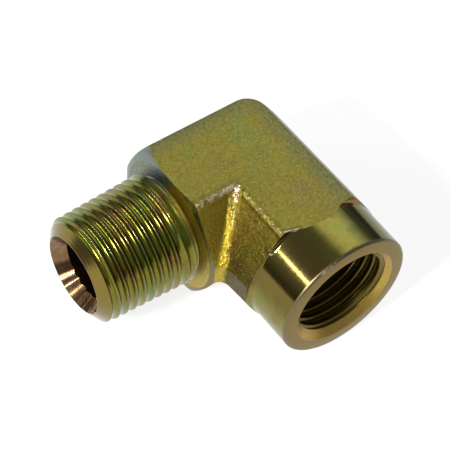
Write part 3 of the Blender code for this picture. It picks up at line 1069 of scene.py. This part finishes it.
@dataclass
class MaleEnd:
    """The threaded shank, the shoulder behind it and the seat and bore inside it."""

    reach: float = 0.0376
    mouth_radius: float = 0.01033
    envelope_radius: float = 0.0116
    rim_width: float = 0.00012
    chamfer_slope: float = math.tan(math.radians(35.0))
    thread_run: float = 0.0191
    thread_lead: float = 2.5
    thread_end: float = 0.0176
    thread_fade: float = 0.0042
    thread_caps: tuple[float, float] = (0.007, 0.0124)
    groove: float = 0.00078
    crest_setback: float = 0.0004
    relief_radius: float = 0.0096
    relief_slope: float = math.tan(math.radians(30.0))
    relief_fillet: float = 0.0003
    shoulder_face: float = 0.0129
    shoulder_cone: float = 0.0144
    shoulder_outer: float = 0.0162
    cone_slope: float = math.tan(math.radians(18.0))
    edge_slope: float = math.tan(math.radians(45.0))
    seat_radius: float = 0.0077
    seat_slope: float = math.tan(math.radians(30.0))
    seat_margin: float = 0.0002
    flutes: int = 19
    flute_depth: float = 0.0001
    flute_phase: float = 293.0
    flute_span: tuple[float, float] = (150.0, 320.0)
    flute_fades: tuple[float, float] = (20.0, 8.0)

    def shank(self) -> Piece:
        """The shank's turned envelope: mouth chamfer, relief groove and the fillet at the shoulder.

        Returns:
            The closed envelope.
        """
        rim, wide, groove = self.seat_radius + self.rim_width, self.envelope_radius, self.relief_radius
        last = self.reach - self.thread_run
        crest = self.mouth_radius + self.thread_run * TAPER
        profile = [(0.0, self.reach), (rim, self.reach), (wide, self.reach - (wide - rim) * self.chamfer_slope),
                   (wide, last + (wide - crest) * self.relief_slope),
                   (groove, last - (crest - groove) * self.relief_slope)]
        profile += fillet((MALE_LEG + self.relief_fillet, groove + self.relief_fillet), self.relief_fillet,
                          1.5 * math.pi, math.pi, 6)
        profile += [(groove + self.relief_fillet, MALE_LEG - OVERLAP), (0.0, MALE_LEG - OVERLAP)]
        return turned("shank", Port.MALE, profile, Finish.THREAD)

    def thread(self) -> Piece:
        """The thread on its own, with a crest at its setback from the mouth on the heel side."""
        first = self.reach - self.crest_setback + self.thread_lead * PITCH
        thread = PipeThread(Port.MALE, self.reach, self.mouth_radius - self.groove, self.groove, first,
                            self.thread_end, self.thread_fade, self.thread_caps)
        return thread.build("male_thread", Finish.THREAD)

    def shoulder(self) -> Piece:
        """The ring that the tool takes off the male leg's corners.

        Returns:
            The cutter.
        """
        inner, outer = self.shoulder_face - OVERLAP, self.shoulder_outer
        end = MALE_LEG - (self.shoulder_cone - self.shoulder_face) * self.cone_slope
        drop = (outer - self.shoulder_cone) * self.edge_slope
        profile = [(inner, MALE_LEG + CLEAR), (outer, MALE_LEG + CLEAR), (outer, end - drop),
                   (self.shoulder_cone, end), (inner, MALE_LEG + OVERLAP * self.cone_slope)]
        return turned("shoulder_cut", Port.MALE, profile, Finish.TURNED_MALE, closed=True)

    def bore(self) -> Piece:
        """The drilled bore behind the seat."""
        profile = [(0.0, self.reach + CLEAR), (MALE_BORE, self.reach + CLEAR),
                   (MALE_BORE, MALE_BORE / DRILL_SLOPE - FEMALE_BORE), (0.0, -FEMALE_BORE)]
        return turned("male_bore_cut", Port.MALE, profile, Finish.BORE, phase=HALF_FACET)

    def seat(self) -> Piece:
        """The conical seat in the mouth, which its reamer left in flutes."""
        profile = cone(self.reach, self.seat_radius, MALE_BORE, self.seat_margin, self.seat_slope)
        return turned("seat_cut", Port.MALE, profile, Finish.SEAT, steps=12 * self.flutes, shape=self.flute)

    def flute(self, point: Vector) -> None:
        """Moves a point of the seat by the chatter that its reamer left, which dies out on one side.

        Args:
            point: The point, which is moved.
        """
        turn = math.degrees(math.atan2(point.z, point.y)) % 360.0
        (start, end), (rise, fall) = self.flute_span, self.flute_fades
        share = unit((end - turn) / fall) * unit((turn - start) / rise)
        wave = math.cos(math.radians((turn - self.flute_phase) * self.flutes))
        Port.MALE.grow(point, 1.0 + self.flute_depth / self.seat_radius * wave * share)


@dataclass
class FemaleEnd:
    """The collar with its step and run-outs, and the countersunk, tapped socket inside it."""

    reach: float = 0.0307
    leg: float = 0.0206
    collar_radius: float = 0.0135
    edge_round: float = 0.0007
    step_fillet: float = 0.0008
    step_outer: float = 0.0160
    run_in: float = math.radians(20.0)
    sink_radius: float = 0.01067
    sink_slope: float = math.tan(math.radians(45.0))
    sink_margin: float = 0.0006
    socket_radius: float = 0.00915
    socket_depth: float = 0.0172
    groove: float = 0.0007
    wall_margin: float = 0.0001
    thread_run: tuple[float, float] = (0.0015, 0.0150)
    thread_fade: float = 0.005
    thread_caps: tuple[float, float] = (0.006, 0.006)
    thread_phase: float = 0.3
    tongue_reach: float = 0.0220
    tongue_radius: float = 0.0150
    tongue_ramp: float = 0.0004

    def collar(self) -> Piece:
        """The turned collar.

        Returns:
            The closed solid.
        """
        start = self.leg - OVERLAP
        profile = [(0.0, self.reach)]
        profile += fillet((self.reach - self.edge_round, self.collar_radius - self.edge_round), self.edge_round,
                          0.0, math.pi / 2.0, 6)
        profile += [(self.collar_radius, start), (0.0, start)]
        return turned("collar", Port.FEMALE, profile, Finish.TURNED_FEMALE)

    def step(self) -> Piece:
        """The ring turned off the female leg's corners, filleted where it meets the collar.

        Returns:
            The cutter.
        """
        profile = [(self.step_outer, self.leg + CLEAR), (self.step_outer, self.leg)]
        profile += fillet((self.leg + self.step_fillet, self.collar_radius + self.step_fillet),
                          self.step_fillet, math.pi, 1.5 * math.pi - self.run_in, 10)
        radius, along = profile[-1]
        radius -= self.step_fillet * math.sin(self.run_in)
        profile += [(radius, along + self.step_fillet * math.cos(self.run_in)), (radius, self.leg + CLEAR)]
        return turned("step_cut", Port.FEMALE, profile, Finish.TURNED_FEMALE, closed=True, phase=HALF_FACET)

    def tongues(self) -> Piece:
        """The flats' run-outs on the collar, each a round table with a ramped edge.

        Returns:
            The cutter for both flats.
        """
        rise = self.collar_radius - FLAT
        height = rise + CLEAR
        mesh = bmesh.new()
        bmesh.ops.create_cone(mesh, cap_ends=True, segments=720, radius1=self.tongue_radius,
                              radius2=self.tongue_radius + self.tongue_ramp * height / rise, depth=height)
        bmesh.ops.translate(mesh, verts=mesh.verts,
                            vec=(0.0, self.tongue_radius - self.tongue_reach, FLAT + height / 2.0))
        for vert in mesh.verts:
            if vert.co.z < FLAT + ON_PLANE:
                vert.co.z = FLAT
        bmesh.ops.mirror(mesh, geom=list(mesh.verts) + list(mesh.edges) + list(mesh.faces), axis="Z",
                         merge_dist=-1.0)
        bmesh.ops.recalc_face_normals(mesh, faces=mesh.faces)
        return to_object(mesh, "tongue_cut", material_for(Finish.FORGED))

    def socket(self) -> Piece:
        """The tapered wall, the drill's cone and the bore behind it.

        Returns:
            The cutter.
        """
        wall_end, depth = self.socket_radius - self.socket_depth * TAPER, self.reach - self.socket_depth
        profile = [(0.0, self.reach + CLEAR), (self.socket_radius + CLEAR * TAPER, self.reach + CLEAR),
                   (wall_end, depth), (FEMALE_BORE, depth - (wall_end - FEMALE_BORE) / DRILL_SLOPE),
                   (FEMALE_BORE, FEMALE_BORE / DRILL_SLOPE - MALE_BORE), (0.0, -MALE_BORE)]
        return turned("socket_cut", Port.FEMALE, profile, Finish.SOCKET, phase=HALF_FACET)

    def thread(self) -> Piece:
        """The tap's form, whose grooves fade towards the bottom of the socket."""
        before, after = self.thread_run
        thread = PipeThread(Port.FEMALE, self.reach, self.socket_radius - self.wall_margin,
                            self.groove + self.wall_margin, self.reach + before, self.reach - after,
                            self.thread_fade, self.thread_caps, self.thread_phase)
        return thread.build("socket_thread_cut", Finish.SOCKET)

    def sink(self) -> Piece:
        """The countersink in the socket's mouth."""
        profile = cone(self.reach, self.sink_radius, self.socket_radius, self.sink_margin, self.sink_slope)
        return turned("sink_cut", Port.FEMALE, profile, Finish.SINK)


@dataclass
class Elbow:
    """The whole elbow, put together as the part's source does it."""

    forging: Forging = field(default_factory=Forging)
    male: MaleEnd = field(default_factory=MaleEnd)
    female: FemaleEnd = field(default_factory=FemaleEnd)
    sharp_angle: float = math.radians(24.0)

    def build(self) -> Piece:
        """Joins the forging and the turned forms and cuts the ports.

        Returns:
            The finished elbow on its lower flat, as one mesh at the origin.
        """
        shank = combine(self.male.shank(), [("INTERSECT", self.male.thread())])
        collar = combine(self.female.collar(), [("DIFFERENCE", self.female.tongues())])
        body = combine(self.forging.build(), [
            ("DIFFERENCE", self.male.shoulder()), ("DIFFERENCE", self.female.step()),
            ("UNION", shank), ("UNION", collar),
            ("DIFFERENCE", self.male.bore()), ("DIFFERENCE", self.male.seat()),
            ("DIFFERENCE", self.female.socket()), ("DIFFERENCE", self.female.thread()),
            ("DIFFERENCE", self.female.sink())])
        body.name = body.data.name = "plated_elbow"
        body.data.transform(Matrix.Translation((0.0, 0.0, FLAT)))
        body.data.shade_smooth()
        body.data.set_sharp_from_angle(angle=self.sharp_angle)
        return body


def combine(target: Piece, steps: Iterable[tuple[str, Piece]]) -> Piece:
    """Applies exact Booleans to a solid and removes the tools.

    Args:
        target: The solid to work on.
        steps: Pairs of an operation and its tool.

    Returns:
        The same object with the result as its mesh.
    """
    tools = []
    for operation, tool in steps:
        step = target.modifiers.new(tool.name, "BOOLEAN")
        step.operation, step.solver, step.object, step.material_mode = operation, "EXACT", tool, "TRANSFER"
        tools.append(tool)
    result = bpy.data.meshes.new_from_object(target.evaluated_get(bpy.context.evaluated_depsgraph_get()))
    target.modifiers.clear()
    target.data = result
    for tool in tools:
        bpy.data.objects.remove(tool, do_unlink=True)
    return target


@dataclass(frozen=True)
class Lamp:
    """A rectangular lamp aimed at the elbow, its longer side along the female port's axis."""

    name: str
    direction: Point
    size: tuple[float, float]
    energy: float
    distance: float = 0.7

    def hang(self, target: Vector) -> None:
        """Puts the lamp at its distance from a target, facing it.

        Args:
            target: The point that it faces.
        """
        data = bpy.data.lights.new(self.name, "AREA")
        data.shape, data.size, data.size_y, data.energy = "RECTANGLE", *self.size, self.energy
        back = Vector(self.direction).normalized()
        side = Vector(Port.FEMALE.value)
        side = (side - back * side.dot(back)).normalized()
        put(bpy.data.objects.new(self.name, data), (side, back.cross(side), back),
            target + back * self.distance)


def put(piece: Piece, axes: Sequence[Vector], place: Vector) -> Piece:
    """Turns an object, moves it to its place and links it.

    Args:
        piece: The object.
        axes: Its X, Y and Z axes in the scene.
        place: Its place.

    Returns:
        The object.
    """
    piece.matrix_world = Matrix(axes).transposed().to_4x4()
    piece.matrix_world.translation = place
    return link(piece)


@dataclass
class Studio:
    """The floor, the lights and the camera."""

    floor_size: float = 3.0
    floor_level: float = -0.0008
    floor_tone: Tone = (0.25, 0.25, 0.25, 1.0)
    floor_glow: float = 0.84
    room_tone: Tone = (0.97, 0.98, 1.0, 1.0)
    room_light: float = 0.30
    horizon_light: float = 0.10
    glow: Point = (0.54, 0.46, 0.70)
    glow_angles: tuple[float, float] = (math.radians(12.0), math.radians(31.0))
    glow_light: float = 1.25
    lamps: tuple[Lamp, ...] = (Lamp("small_lamp", (-0.787, -0.165, 0.595), (0.085, 0.085), 4.5),
                               Lamp("narrow_lamp", (-0.74, 0.36, 0.53), (0.40, 0.022), 1.4))
    target: Point = (0.0, 0.0, FLAT)
    azimuth: float = math.radians(-40.58)
    elevation: float = math.radians(51.16)
    roll: float = math.radians(5.68)
    distance: float = 0.34871
    sensor_width: float = 36.0
    focal_pixels: float = 1876.4
    image_pixels: int = 450
    aim_pixels: tuple[float, float] = (-18.705, 40.444)

    def camera(self) -> None:
        """Puts the camera at the photograph's viewpoint, turned so that it needs no shift."""
        back = Vector((math.sin(self.azimuth) * math.cos(self.elevation),
                       -math.cos(self.azimuth) * math.cos(self.elevation), math.sin(self.elevation)))
        level = Vector((math.cos(self.azimuth), math.sin(self.azimuth), 0.0))
        above = back.cross(level)
        right = level * math.cos(self.roll) + above * math.sin(self.roll)
        up = above * math.cos(self.roll) - level * math.sin(self.roll)
        across, rise = self.aim_pixels
        ahead = (-back + right * (across / self.focal_pixels) - up * (rise / self.focal_pixels)).normalized()
        turn = (-back).rotation_difference(ahead).to_matrix()
        data = bpy.data.cameras.new("view")
        data.sensor_width = self.sensor_width
        data.lens = self.sensor_width * self.focal_pixels / self.image_pixels
        data.clip_start, data.clip_end = 0.01, 10.0
        bpy.context.scene.camera = put(bpy.data.objects.new("view", data), (turn @ right, turn @ up, -ahead),
                                       Vector(self.target) + back * self.distance)

    def floor(self) -> None:
        """A plain pale floor, which shows as white and still takes the elbow's shadow."""
        material = bpy.data.materials.new("pale_floor")
        material.use_nodes = True
        graph = Graph(material.node_tree)
        shader = material.node_tree.nodes["Principled BSDF"].inputs
        ray = graph.node("ShaderNodeLightPath").outputs
        seen = graph.math("ADD", ray["Is Camera Ray"], ray["Is Glossy Ray"], clamp=True)
        seen = graph.math("ADD", seen, ray["Is Transmission Ray"], clamp=True)
        for name, value in (("Base Color", self.floor_tone), ("Roughness", 0.9), ("Specular IOR Level", 0.0),
                            ("Emission Color", WHITE)):
            shader[name].default_value = value
        graph.feed(shader["Emission Strength"], graph.math("MULTIPLY", seen, self.floor_glow))
        mesh = bmesh.new()
        bmesh.ops.create_grid(mesh, x_segments=8, y_segments=8, size=self.floor_size / 2.0)
        floor = to_object(mesh, "floor", material)
        floor.location = (0.0, 0.0, self.floor_level)

    def room(self) -> None:
        """A dim room with a wide soft glow behind the elbow, a dark horizon and a white backdrop."""
        world = bpy.data.worlds.new("room")
        world.use_nodes = True
        graph = Graph(world.node_tree)
        base = world.node_tree.nodes["Background"].inputs
        base["Color"].default_value = self.room_tone
        towards = graph.node("ShaderNodeTexCoord").outputs["Generated"]
        level = graph.math("ABSOLUTE", graph.vector("DOT_PRODUCT", towards, (0.0, 0.0, 1.0)))
        light = graph.ramp(level, 0.05, 0.40, self.horizon_light, self.room_light)
        match = graph.vector("DOT_PRODUCT", towards, Vector(self.glow).normalized())
        inner, outer = self.glow_angles
        glow = graph.ramp(match, math.cos(outer), math.cos(inner), 0.0, self.glow_light)
        ray = graph.node("ShaderNodeLightPath").outputs["Is Camera Ray"]
        graph.feed(base["Strength"], graph.ramp(ray, 0.0, 1.0, graph.math("ADD", light, glow), 1.0))
        bpy.context.scene.world = world

    def light(self) -> None:
        """A small lamp at the elbow's left for the glints, and a narrow one for the collar's streak."""
        for lamp in self.lamps:
            lamp.hang(Vector(self.target))


def main() -> None:
    """Builds the dressed elbow and the studio round it."""
    logging.basicConfig(level=logging.INFO, format="%(name)s: %(message)s")
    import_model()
    body = Elbow().build()
    for finish in FINISHES:
        finish.dress()
    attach(body, "root")
    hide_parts(BODY_NODE)
    LOG.info("elbow: %d faces", len(body.data.polygons))
    studio = Studio()
    studio.camera()
    studio.floor()
    studio.room()
    studio.light()
    bpy.context.scene.view_settings.view_transform = "Standard"


if __name__ == "__main__":
    main()
